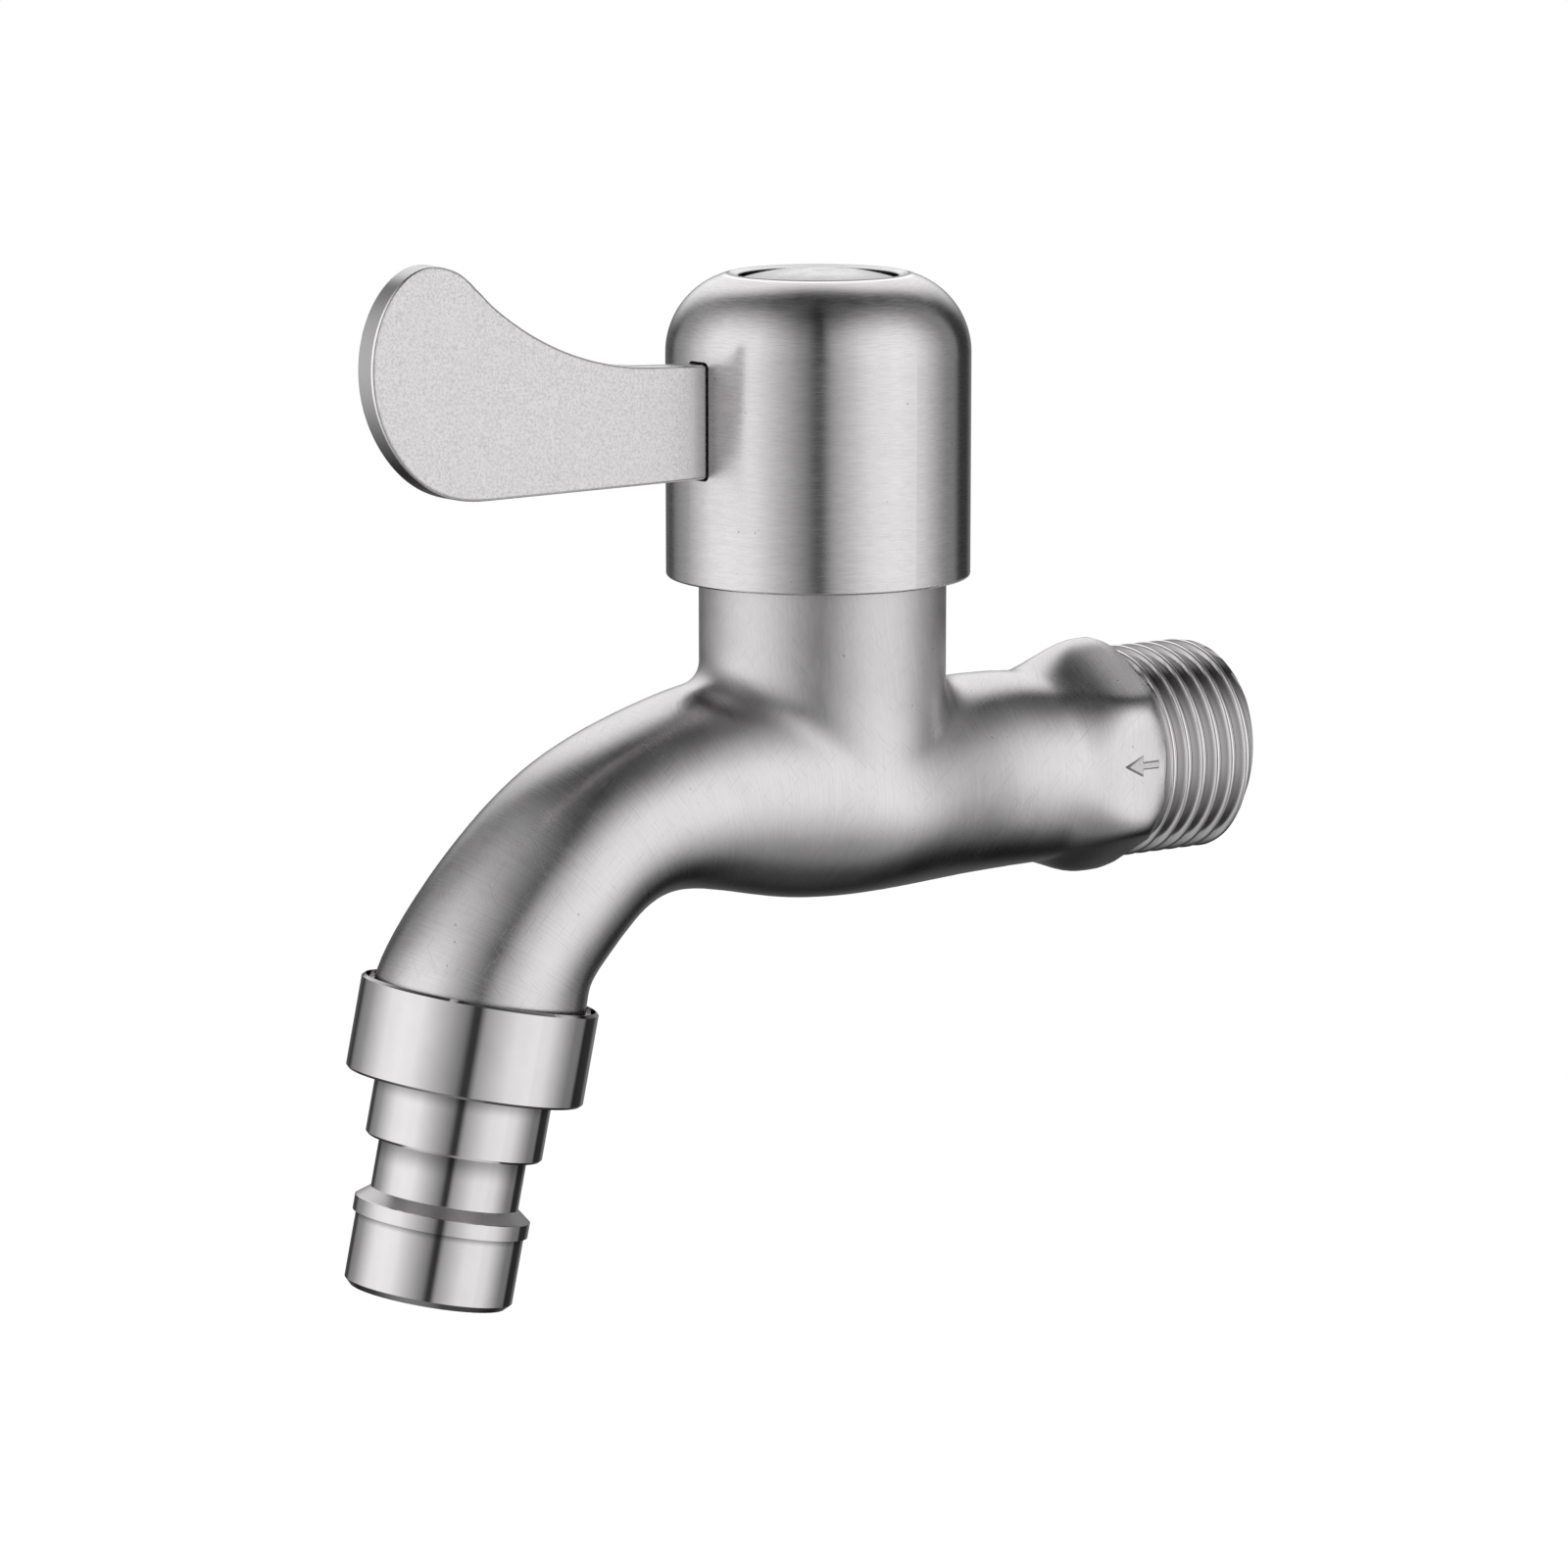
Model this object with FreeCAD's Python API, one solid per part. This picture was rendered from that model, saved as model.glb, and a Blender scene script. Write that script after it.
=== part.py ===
import FreeCAD, Part
import math
import os

# Washing machine tap. Lengths are in millimetres and angles in degrees.
# The origin is the centre of the inlet thread's shoulder. +Y runs into the wall, +Z is up,
# and the spout, lever and stem lie towards -Y.

vec = FreeCAD.Vector
x_axis = vec(1, 0, 0)
z_axis = vec(0, 0, 1)

# inlet: half-inch pipe thread, spanner hexagon and pipe
inlet_thread_diameter = 20.955
inlet_thread_length = 11.7
inlet_thread_chamfer = 0.5
inlet_bore_diameter = 14.0
hex_across_flats = 21.0
hex_corner_round = 2.8
hex_length = 2.9
hex_bevel_diameter = 23.5
hex_end_diameter = 21.9
hex_bevel_length = 2.2
blend_length = 7.7
blend_steps = 4
blend_start_inset = 0.2
blend_start_flat = 0.3
pipe_radius = 9.55
pipe_sag = 0.43
pipe_end_overlap = 3.3

# stem: the vertical axis that the handle turns on
stem_setback = 34.0
neck_radius = 11.85
neck_offset = 0.5
neck_top = 22.4
neck_fillet = 3.2
belly_overhang = 0.5
belly_half_height = 10.15
belly_setback = 3.0
pipe_flare_setback = 16.0
pipe_flare = 0.17

# spout
spout_reach = 38.05
spout_drop = 15.65
spout_end_radius = 9.95
spout_plain_end = 1.3
nozzle_tilt = 12.3
section_points = 12
# sections between the stem and the spout's end: how far in front of the stem, height, lean,
# half height and half width
shoulder_section = (6.0, 0.75, 5.0, 10.95, 11.5)
bend_section = (16.75, 0.68, 17.0, 9.45, 10.2)
throat_section = (25.55, -1.72, 32.0, 8.36, 9.9)
descent_section = (32.15, -7.1, 46.0, 8.55, 9.9)
elbow_section = (35.75, -11.2, 62.0, 8.9, 9.9)

# waterway inside the body
waterway_radius = 5.9
outlet_recess_radius = 6.6
outlet_recess_depth = 6.3
chamber_radius = 9.4
chamber_top = 11.0
chamber_to_bore_wall = 2.4
seat_height = 3.0
seat_web = 3.0
seat_hole_radius = 4.5
under_seat_radius = 6.4
outlet_port_radius = 4.0
outlet_port_height = 8.0
outlet_port_overlap = 1.5

# headwork: the cartridge that screws into the neck
headwork_thread_radius = 9.0
headwork_lead_in = 1.0
thread_clearance = 0.05
gasket_thickness = 0.8
flange_radius = 11.2
flange_thickness = 1.4
headwork_hex_flats = 17.0
headwork_hex_height = 2.6
skirt_radius = 7.9
skirt_wall = 0.85
skirt_lift = 0.3
fit_clearance = 0.05
running_clearance = 0.05
window_arc = 76.0
window_margin = 0.2

# seals and ceramic discs
seat_seal_height = 2.0
seat_seal_bore = 4.7
support_ring_wall = 0.6
lower_disc_height = 2.6
upper_disc_height = 2.8
port_arc = 78.0
port_inner_radius = 2.4
port_outer_radius = 5.7
disc_ear_width = 3.0
tongue_width = 2.4
tongue_depth = 1.2
tongue_inset = 0.8
thrust_washer_height = 1.0
o_ring_section = 1.26
o_ring_groove_margin = 0.2

# spindle
spindle_radius = 4.0
driver_radius = 5.8
driver_height = 2.6
lug_arc = 40.0
quarter_turn = 90.0
stop_margin = 0.5
first_o_ring_rise = 3.0
o_ring_spacing = 4.2
spline_length = 9.4
spline_count = 20
spline_root_radius = 3.5
spline_tip_radius = 3.9
# one spline's flanks, as shares of the way round to the next spline
spline_root_end = 0.3
spline_tip_start = 0.45
spline_tip_end = 0.85
clip_thickness = 0.7
clip_width = 1.9
clip_gap_arc = 50.0
clip_groove_depth = 0.8

# handle cap
handle_angle = 4.8
cap_radius = 14.55
cap_wall = 1.6
cap_bottom = 20.6
cap_top = 49.7
cap_crown_radius = 7.8
cap_edge_round = 0.3
button_hole_radius = 7.63
hole_bevel_width = 0.9
hole_bevel_drop = 0.3
hole_wall = 2.0
recess_depth = 3.7
cap_ceiling = 2.0
boss_radius = 6.6
boss_clearance = 0.6
washer_seat_thickness = 2.1
counterbore_radius = 4.3

# lever
lever_thickness = 2.5
lever_bottom = 31.0
lever_root_top = 41.7
lever_root_slope = 2.6
lever_root_length = 20.9
lever_hollow_radius = 31.3
lever_throat = 37.6
lever_heel = 39.8
lever_head = [(48.4, 3.2), (52.1, 9.9), (51.3, 17.3), (48.85, 20.5), (45.4, 21.7), (41.7, 20.4)]
lever_edge_round = 0.3
slot_clearance = 0.25
slot_corner_round = 0.6
fork_wall = 2.1
fork_reach = 11.2
fork_drop = 1.0
fork_clearance = 0.06
pin_radius = 1.2
pin_setback = 2.35
pin_inset = 2.6

# handle screw, lock washer and top button
screw_radius = 1.95
screw_length = 9.5
screw_head_radius = 3.4
screw_head_height = 2.0
screw_slot_width = 0.9
screw_slot_reach = 2.4
lock_washer_radius = 3.8
lock_washer_thickness = 0.8
lock_washer_split = 0.5
button_radius = 7.2
button_rim_drop = 0.75
button_rim_thickness = 1.4
button_dome = 1.0
button_plug_wall = 1.0
button_plug_depth = 2.0

# hose nozzle, measured along its own axis from the collar's top
collar_radius = 11.2
collar_height = 8.9
collar_edge = 0.25
collar_floor = 1.9
collar_mouth_radius = 10.85
collar_mouth_depth = 1.5
spout_thread_radius = 9.7
spout_thread_length = 5.3
nozzle_bore_radius = 5.0
step_radius = 8.34
step_end = 14.7
groove_radius = 6.97
groove_end = 19.5
flange_lip_radius = 8.28
flange_lip_start = 20.5
flange_lip_end = 21.9
spigot_radius = 7.94
nozzle_length = 28.86
nozzle_end_round = 0.6
nozzle_washer_margin = 0.3

# places worked out from the sizes above
thread_radius = inlet_thread_diameter / 2
inlet_bore_radius = inlet_bore_diameter / 2
hex_half_flats = hex_across_flats / 2
blend_start_half = pipe_radius - blend_start_inset
stem_foot = vec(0, -stem_setback, 0)
neck_foot = stem_foot + vec(0, neck_offset, 0)
nozzle_lean = 90.0 - nozzle_tilt
cavity_radius = skirt_radius - skirt_wall
lower_disc_base = seat_height + seat_seal_height
upper_disc_base = lower_disc_base + lower_disc_height
driver_base = upper_disc_base + upper_disc_height
driver_top = driver_base + driver_height
cavity_top = driver_top + thrust_washer_height + running_clearance
gasket_top = neck_top + gasket_thickness
flange_top = gasket_top + flange_thickness
headwork_top = flange_top + headwork_hex_height
stem_bore_radius = spindle_radius + running_clearance
clip_base = headwork_top + running_clearance
spline_base = clip_base + clip_thickness + clip_groove_depth
spindle_top = spline_base + spline_length
spline_roof = spindle_top + fit_clearance
washer_seat = spline_roof + washer_seat_thickness
recess_floor = cap_top - recess_depth
slot_half_width = lever_thickness / 2 + slot_clearance
fork_gap = lever_thickness / 2 + fork_clearance
tang_end = boss_radius + fit_clearance
pin_distance = boss_radius + pin_setback
spout_end = vec(0, -stem_setback - spout_reach, -spout_drop)
plain_end_reach = spout_reach + spout_plain_end * math.sin(math.radians(nozzle_tilt))
plain_end_drop = spout_drop + spout_plain_end * math.cos(math.radians(nozzle_tilt))


def station(forward, height, lean, half_height, half_width):
    """One cross-section of the pipe: how far in front of the stem, how high, and its size."""
    centre = vec(0, -stem_setback - forward, height)
    up = vec(0, -math.sin(math.radians(lean)), math.cos(math.radians(lean)))
    return centre, up, half_height, half_width


def straight_station(setback, half_height, half_width):
    """A section of the level pipe behind the stem."""
    return station(-setback, -pipe_sag, 0.0, half_height, half_width)


blend_setback = stem_setback - hex_length - blend_length
flared_radius = pipe_radius + pipe_flare
inlet_stations = [
    straight_station(blend_setback + pipe_end_overlap, pipe_radius, pipe_radius),
    straight_station(blend_setback, pipe_radius, pipe_radius),
    straight_station(pipe_flare_setback, flared_radius, flared_radius + pipe_flare),
    straight_station(belly_setback, belly_half_height, neck_radius + belly_overhang),
    station(*shoulder_section),
]
spout_stations = [
    station(*bend_section),
    station(*throat_section),
    station(*descent_section),
    station(*elbow_section),
    station(spout_reach, -spout_drop, nozzle_lean, spout_end_radius, spout_end_radius),
    station(plain_end_reach, -plain_end_drop, nozzle_lean, spout_end_radius, spout_end_radius),
]


def section_wire(centre, up, half_height, half_width):
    """An oval across the pipe, as a closed curve that starts at the same side everywhere."""
    points = []
    for index in range(section_points):
        a = 2 * math.pi * index / section_points
        points.append(centre + x_axis * (half_width * math.cos(a))
                      + up * (half_height * math.sin(a)))
    oval = Part.BSplineCurve()
    oval.interpolate(Points=points, PeriodicFlag=True)
    return Part.Wire([oval.toShape()])


def pipe_through(stations):
    return Part.makeLoft([section_wire(*one) for one in stations], True, False)


def cylinder(radius, low, high):
    return Part.makeCylinder(radius, high - low, vec(0, 0, low))


def ring(inner, outer, low, high):
    return cylinder(outer, low, high).cut(cylinder(inner, low, high))


def turned(outline):
    """Turn an outline of (radius, height) points about the upright axis."""
    points = [vec(radius, 0, height) for radius, height in outline]
    face = Part.Face(Part.makePolygon(points + points[:1]))
    return face.revolve(vec(0, 0, 0), z_axis, 360)


def wedge(radius, arc, middle, low, high):
    """A pie slice centred on the direction `middle`."""
    piece = Part.makeCylinder(radius, high - low, vec(0, 0, low), z_axis, arc)
    piece.rotate(vec(0, 0, 0), z_axis, middle - arc / 2)
    return piece


def hexagon(flats, low, high):
    corner = flats / math.sqrt(3)
    angles = [math.radians(30 + 60 * index) for index in range(7)]
    points = [vec(corner * math.cos(a), corner * math.sin(a), low) for a in angles]
    return Part.Face(Part.makePolygon(points)).extrude(vec(0, 0, high - low))


def on_stem(shape, turn=0.0):
    """Move a piece from the drawing axis to the stem, turned about it."""
    shape.rotate(vec(0, 0, 0), z_axis, turn)
    shape.translate(stem_foot)
    return shape


def on_inlet(shape):
    """Lay an upright piece along the inlet, so that its top points into the wall."""
    shape.rotate(vec(0, 0, 0), x_axis, -90)
    return shape


def on_nozzle(shape):
    """Hang a piece, drawn downwards from zero, on the spout's end."""
    shape.rotate(vec(0, 0, 0), x_axis, -nozzle_tilt)
    shape.translate(spout_end)
    return shape


def round_hexagon(height, half_flats, corner_round, drop):
    """A hexagon outline with round corners, lowered by `drop` once the piece lies on the inlet."""
    corner_middle = 2 * (half_flats - corner_round) / math.sqrt(3)

    def on_corner(index, angle):
        a, b = math.radians(60 * index + 30), math.radians(angle)
        return vec(corner_middle * math.cos(a) + corner_round * math.cos(b),
                   corner_middle * math.sin(a) + corner_round * math.sin(b) + drop, height)

    edges = []
    for index in range(6):
        angle = 60 * index
        start, end = on_corner(index, angle), on_corner(index, angle + 60)
        edges.append(Part.makeLine(on_corner(index - 1, angle), start))
        edges.append(Part.Arc(start, on_corner(index, angle + 30), end).toShape())
    return Part.Wire(edges)


def blend_outline(share):
    """The outline part of the way along the blend, from nearly round to the full hexagon."""
    ease = share * share * (3 - 2 * share)
    half_flats = blend_start_half + (hex_half_flats - blend_start_half) * ease
    start_round = blend_start_half - blend_start_flat
    corner_round = start_round + (hex_corner_round - start_round) * ease
    return round_hexagon(-hex_length - blend_length * (1 - share), half_flats, corner_round,
                         pipe_sag * (1 - ease))


def inlet_end():
    """The spanner hexagon, its soft blend into the pipe, and the threaded end."""
    outlines = [blend_outline(step / blend_steps) for step in range(blend_steps + 1)]
    for height in (-hex_length / 2, 0):
        outlines.append(round_hexagon(height, hex_half_flats, hex_corner_round, 0))
    spanner_end = Part.makeLoft(outlines, True, False).common(hex_bevel())
    chamfer_start = inlet_thread_length - inlet_thread_chamfer
    thread = turned([(0, -1), (thread_radius, -1), (thread_radius, chamfer_start),
                     (thread_radius - inlet_thread_chamfer, inlet_thread_length),
                     (0, inlet_thread_length)])
    return on_inlet(spanner_end.fuse(thread))


def hex_bevel():
    """The turned envelope that rounds the hexagon's corners off towards the thread."""
    radius = hex_bevel_diameter / 2
    end_radius = hex_end_diameter / 2
    drop = radius - end_radius
    arc_radius = (hex_bevel_length ** 2 + drop ** 2) / (2 * drop)
    middle_drop = arc_radius - math.sqrt(arc_radius ** 2 - hex_bevel_length ** 2 / 4)
    low = -hex_length - blend_length - 1
    points = [vec(end_radius, 0, 0), vec(0, 0, 0), vec(0, 0, low), vec(radius, 0, low),
              vec(radius, 0, -hex_bevel_length)]
    edges = [Part.makeLine(a, b) for a, b in zip(points, points[1:])]
    middle = vec(radius - middle_drop, 0, -hex_bevel_length / 2)
    edges.append(Part.Arc(points[-1], middle, points[0]).toShape())
    return Part.Face(Part.Wire(edges)).revolve(vec(0, 0, 0), z_axis, 360)


def is_neck_seam(edge):
    """True for an edge where the upright neck meets the pipe."""
    for point in edge.discretize(9):
        away = math.hypot(point.x, point.y - neck_foot.y)
        if abs(away - neck_radius) > 0.02 or point.z > neck_top - 1 or point.z < 0:
            return False
    return True


def body_shell():
    pipe = pipe_through(inlet_stations + spout_stations)
    neck = cylinder(neck_radius, -1.0, neck_top)
    neck.translate(neck_foot)
    shell = pipe.fuse(neck)
    seam = [edge for edge in shell.Edges if is_neck_seam(edge)]
    return shell.makeFillet(neck_fillet, seam)


def body_hollows():
    """The bores, the chambers under and over the seat, and the way out to the nozzle."""
    bore_stop = stem_setback - chamber_radius - chamber_to_bore_wall
    inlet = on_inlet(cylinder(inlet_bore_radius, -bore_stop, inlet_thread_length))
    under_length = stem_setback + seat_hole_radius
    under = on_inlet(cylinder(under_seat_radius, -under_length, -bore_stop + 1))
    below_web = Part.makeBox(2 * under_seat_radius, under_length, under_seat_radius,
                             vec(-under_seat_radius, -under_length,
                                 seat_height - seat_web - under_seat_radius))
    seat_hole = on_stem(cylinder(seat_hole_radius, -1, seat_height + 1))
    chamber = on_stem(cylinder(chamber_radius, seat_height, chamber_top))
    neck_bore = on_stem(cylinder(headwork_thread_radius, chamber_top - 1, neck_top + 1))
    way = [(c, up, waterway_radius, waterway_radius) for c, up, tall, wide in spout_stations]
    waterway = pipe_through(way)
    outlet = on_nozzle(cylinder(outlet_recess_radius, -spout_thread_length - 1,
                                outlet_recess_depth - spout_thread_length))
    port_start = stem_foot + vec(0, 0, outlet_port_height)
    reach = spout_stations[0][0] - port_start
    port = Part.makeCylinder(outlet_port_radius, reach.Length + outlet_port_overlap, port_start,
                             reach)
    under = under.common(below_web)
    return inlet.fuse([under, seat_hole, chamber, neck_bore, waterway, outlet, port])


def tap_body():
    outlet_thread = on_nozzle(cylinder(spout_thread_radius, -spout_thread_length, 0.0))
    body = body_shell().fuse(inlet_end()).fuse(outlet_thread)
    return body.cut(body_hollows())


def headwork_body():
    """The cartridge housing: skirt round the discs, thread, flange and hexagon."""
    thread_outer = headwork_thread_radius - thread_clearance
    outline = [(cavity_radius, seat_height + skirt_lift), (skirt_radius, seat_height + skirt_lift),
               (skirt_radius, chamber_top + headwork_lead_in),
               (thread_outer, chamber_top + 2 * headwork_lead_in), (thread_outer, gasket_top),
               (flange_radius, gasket_top), (flange_radius, flange_top),
               (stem_bore_radius, flange_top), (stem_bore_radius, cavity_top),
               (cavity_radius, cavity_top)]
    hexagon_top = hexagon(headwork_hex_flats, flange_top, headwork_top)
    stem_bore = cylinder(stem_bore_radius, flange_top, headwork_top)
    housing = turned(outline).fuse(hexagon_top.cut(stem_bore))
    inside = cylinder(cavity_radius - 1, 0, headwork_top)
    window_base = upper_disc_base + window_margin
    window_top = driver_base - window_margin
    ear_slot_half = disc_ear_width / 2 + fit_clearance
    for side in (0, 180):
        window = wedge(chamber_radius, window_arc, side, window_base, window_top)
        housing = housing.cut(window.cut(inside))
        ear_slot = Part.makeBox(chamber_radius, 2 * ear_slot_half, upper_disc_base - seat_height,
                                vec(0, -ear_slot_half, seat_height))
        ear_slot.rotate(vec(0, 0, 0), z_axis, side + 90)
        housing = housing.cut(ear_slot.cut(inside)).fuse(stop_rib(side))
    return on_stem(housing, handle_angle)


def rib_arc():
    return 180 - lug_arc - quarter_turn - 2 * stop_margin


def lug_direction():
    """The spindle's lugs stand just clear of the ribs' closed side."""
    return rib_arc() / 2 + lug_arc / 2 + stop_margin


def stop_rib(side):
    """One of the two ribs inside the skirt that stop the spindle's lugs."""
    low = driver_base + window_margin
    high = driver_top
    inner = driver_radius + 2 * running_clearance
    return wedge(cavity_radius + skirt_wall / 2, rib_arc(), side, low, high).cut(
        cylinder(inner, low - 1, high + 1))


def port_cut(outer, side, low, high):
    cut = wedge(outer, port_arc, side, low, high)
    return cut.cut(cylinder(port_inner_radius, low - 1, high + 1))


def lower_disc():
    """Fixed ceramic disc with two ports, held from turning by ears in the skirt."""
    low, high = lower_disc_base, upper_disc_base
    disc = cylinder(cavity_radius - fit_clearance, low, high)
    for side in (90, 270):
        ear = Part.makeBox(skirt_radius - 1, disc_ear_width, high - low,
                           vec(1, -disc_ear_width / 2, low))
        ear.rotate(vec(0, 0, 0), z_axis, side)
        disc = disc.fuse(ear)
    for side in (0, 180):
        disc = disc.cut(port_cut(port_outer_radius, side, low - 1, high + 1))
    return on_stem(disc.removeSplitter(), handle_angle)


def upper_disc():
    """Turning ceramic disc with two open notches, a quarter turn off the ports when closed."""
    low, high = upper_disc_base, driver_base
    disc = cylinder(cavity_radius - 3 * fit_clearance, low, high)
    for side in (90, 270):
        disc = disc.cut(port_cut(skirt_radius, side, low - 1, high + 1))
    return on_stem(disc.cut(tongues(fit_clearance)), handle_angle)


def tongues(growth):
    """The spindle's driving tongue, or with growth the groove for it in the disc."""
    length = 2 * (driver_radius - tongue_inset + growth)
    width = tongue_width + 2 * growth
    depth = tongue_depth + growth
    return Part.makeBox(length, width, depth + 1,
                        vec(-length / 2, -width / 2, driver_base - depth))


def o_ring_heights():
    first = cavity_top + first_o_ring_rise
    return [first, first + o_ring_spacing]


def o_ring_groove_radius():
    return stem_bore_radius - o_ring_section - running_clearance / 2


def spline_outline():
    points = []
    for index in range(spline_count):
        for share, radius in ((0.0, spline_root_radius), (spline_root_end, spline_root_radius),
                              (spline_tip_start, spline_tip_radius),
                              (spline_tip_end, spline_tip_radius)):
            a = 2 * math.pi * (index + share) / spline_count
            points.append((radius, a))
    return points


def splined_bar(growth, low, high):
    """The spindle's splines, or with growth the splined hole that takes them."""
    points = [vec((r + growth) * math.cos(a), (r + growth) * math.sin(a), low)
              for r, a in spline_outline()]
    return Part.Face(Part.makePolygon(points + points[:1])).extrude(vec(0, 0, high - low))


def spindle():
    """Driver with two lugs and a tongue, sealed shaft, clip groove and splined end."""
    shaft = cylinder(spindle_radius, driver_base, spline_base)
    driver = cylinder(driver_radius, driver_base, driver_top)
    for side in (0, 180):
        lug = wedge(cavity_radius - 3 * fit_clearance, lug_arc, lug_direction() + side,
                    driver_base + 2 * window_margin, driver_top)
        driver = driver.fuse(lug)
    body = shaft.fuse(driver).fuse(tongues(0.0)).fuse(
        splined_bar(0.0, spline_base, spindle_top))
    half_groove = o_ring_section / 2 + o_ring_groove_margin
    for height in o_ring_heights():
        body = body.cut(ring(o_ring_groove_radius(), spindle_radius + 1,
                             height - half_groove, height + half_groove))
    body = body.cut(ring(spindle_radius - clip_groove_depth, spindle_radius + 1,
                         clip_base, clip_base + clip_thickness + fit_clearance))
    tapped = cylinder(screw_radius, screw_tip() - 1, spindle_top + 1)
    return on_stem(body.cut(tapped), handle_angle)


def screw_tip():
    return washer_seat + lock_washer_thickness - screw_length


def o_ring(height):
    centre_radius = o_ring_groove_radius() + o_ring_section / 2
    return on_stem(Part.makeTorus(centre_radius, o_ring_section / 2, vec(0, 0, height)))


def spindle_clip():
    """Open spring clip in the spindle's groove, resting over the housing."""
    inner = spindle_radius - clip_groove_depth + fit_clearance / 2
    low, high = clip_base, clip_base + clip_thickness
    clip = ring(inner, inner + clip_width, low, high)
    return on_stem(clip.cut(wedge(inner + clip_width + 1, clip_gap_arc, 180, low - 1, high + 1)),
                   handle_angle)


def thrust_washer():
    low = driver_top
    return on_stem(ring(spindle_radius + 3 * fit_clearance, cavity_radius - 3 * fit_clearance,
                        low, low + thrust_washer_height))


def seat_seal():
    """Rubber ring that the headwork presses on the seat, round its support ring."""
    inner = seat_seal_bore + support_ring_wall
    return on_stem(ring(inner, cavity_radius - fit_clearance, seat_height, lower_disc_base))


def seal_support_ring():
    inner = seat_seal_bore
    return on_stem(ring(inner, inner + support_ring_wall, seat_height + skirt_lift,
                        lower_disc_base))


def headwork_gasket():
    return on_stem(ring(headwork_thread_radius, flange_radius, neck_top, gasket_top))


def bell():
    """The cap's shell: straight wall, rounded crown and bevelled hole for the button."""
    crown_centre = cap_radius - cap_crown_radius
    crown_base = cap_top - cap_crown_radius
    bevel_radius = button_hole_radius + hole_bevel_width
    bevel_across = bevel_radius - crown_centre
    bevel_top = crown_base + math.sqrt(cap_crown_radius ** 2 - bevel_across ** 2)
    middle = math.atan2(bevel_top - crown_base, bevel_across) / 2
    crown_middle = vec(crown_centre + cap_crown_radius * math.cos(middle), 0,
                       crown_base + cap_crown_radius * math.sin(middle))
    inner = cap_radius - cap_wall
    ceiling = recess_floor - cap_ceiling
    inner_round = inner - button_hole_radius - hole_wall
    corner = vec(inner - inner_round, 0, ceiling)
    corner_middle = vec(inner - inner_round * (1 - math.cos(math.pi / 4)), 0,
                        ceiling - inner_round * (1 - math.sin(math.pi / 4)))
    wall_top = vec(inner, 0, ceiling - inner_round)
    points = [vec(0, 0, ceiling), vec(0, 0, recess_floor), vec(button_hole_radius, 0, recess_floor),
              vec(button_hole_radius, 0, bevel_top - hole_bevel_drop),
              vec(bevel_radius, 0, bevel_top)]
    edges = [Part.makeLine(a, b) for a, b in zip(points, points[1:])]
    edges.append(Part.Arc(points[-1], crown_middle, vec(cap_radius, 0, crown_base)).toShape())
    edge_top = vec(cap_radius, 0, cap_bottom + cap_edge_round)
    edge_foot = vec(cap_radius - cap_edge_round, 0, cap_bottom)
    edge_inset = cap_edge_round * (1 - math.cos(math.pi / 4))
    edge_middle = vec(cap_radius - edge_inset, 0, cap_bottom + edge_inset)
    edges.append(Part.makeLine(vec(cap_radius, 0, crown_base), edge_top))
    edges.append(Part.Arc(edge_top, edge_middle, edge_foot).toShape())
    edges.append(Part.makeLine(edge_foot, vec(inner, 0, cap_bottom)))
    edges.append(Part.makeLine(vec(inner, 0, cap_bottom), wall_top))
    edges.append(Part.Arc(wall_top, corner_middle, corner).toShape())
    edges.append(Part.makeLine(corner, points[0]))
    return Part.Face(Part.Wire(edges)).revolve(vec(0, 0, 0), z_axis, 360)


def pin_heights():
    return [lever_bottom + pin_inset, lever_root_top - pin_inset]


def pin_hole(radius, height, half_length):
    """A round bar across the lever's tang."""
    start = vec(-half_length, -pin_distance, height)
    return Part.makeCylinder(radius, 2 * half_length, start, x_axis)


def fork():
    """The two cheeks beside the tang, cast with the boss and the ceiling."""
    half = fork_gap + fork_wall
    low = lever_bottom - fork_drop
    block = Part.makeBox(2 * half, fork_reach, recess_floor - cap_ceiling - low + 0.5,
                         vec(-half, -fork_reach, low))
    gap = Part.makeBox(2 * fork_gap, fork_reach - tang_end + 1,
                       lever_root_top + slot_clearance - low + 1,
                       vec(-fork_gap, -fork_reach - 1, low - 1))
    return block.cut(gap)


def handle_cap():
    boss_base = spline_base + boss_clearance
    ceiling = recess_floor - cap_ceiling
    boss = cylinder(boss_radius, boss_base, ceiling + 0.5)
    cap = bell().fuse(boss).fuse(fork())
    slot_height = lever_root_top - lever_bottom + 2 * slot_clearance
    slot = Part.makeBox(2 * slot_half_width, cap_wall + 3, slot_height,
                        vec(-slot_half_width, -cap_radius - 1, lever_bottom - slot_clearance))
    through_wall = [edge for edge in slot.Edges if edge.BoundBox.YLength > cap_wall]
    slot = slot.makeFillet(slot_corner_round, through_wall)
    cuts = [slot, splined_bar(fit_clearance, boss_base - 1, spline_roof),
            cylinder(screw_radius + 3 * fit_clearance, spline_roof - 1, washer_seat + 1),
            cylinder(counterbore_radius, washer_seat, recess_floor + 1)]
    cuts += [pin_hole(pin_radius, height, cap_radius / 2) for height in pin_heights()]
    return on_stem(cap.cut(cuts), handle_angle)


def beside(distance, height):
    """A point in the lever's plane, a distance out from the stem."""
    return vec(0, -distance, height)


def root_point(distance):
    """A point on the top edge of the lever's straight root."""
    rise = (distance - cap_radius) * math.tan(math.radians(lever_root_slope))
    return beside(distance, lever_root_top + rise)


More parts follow.
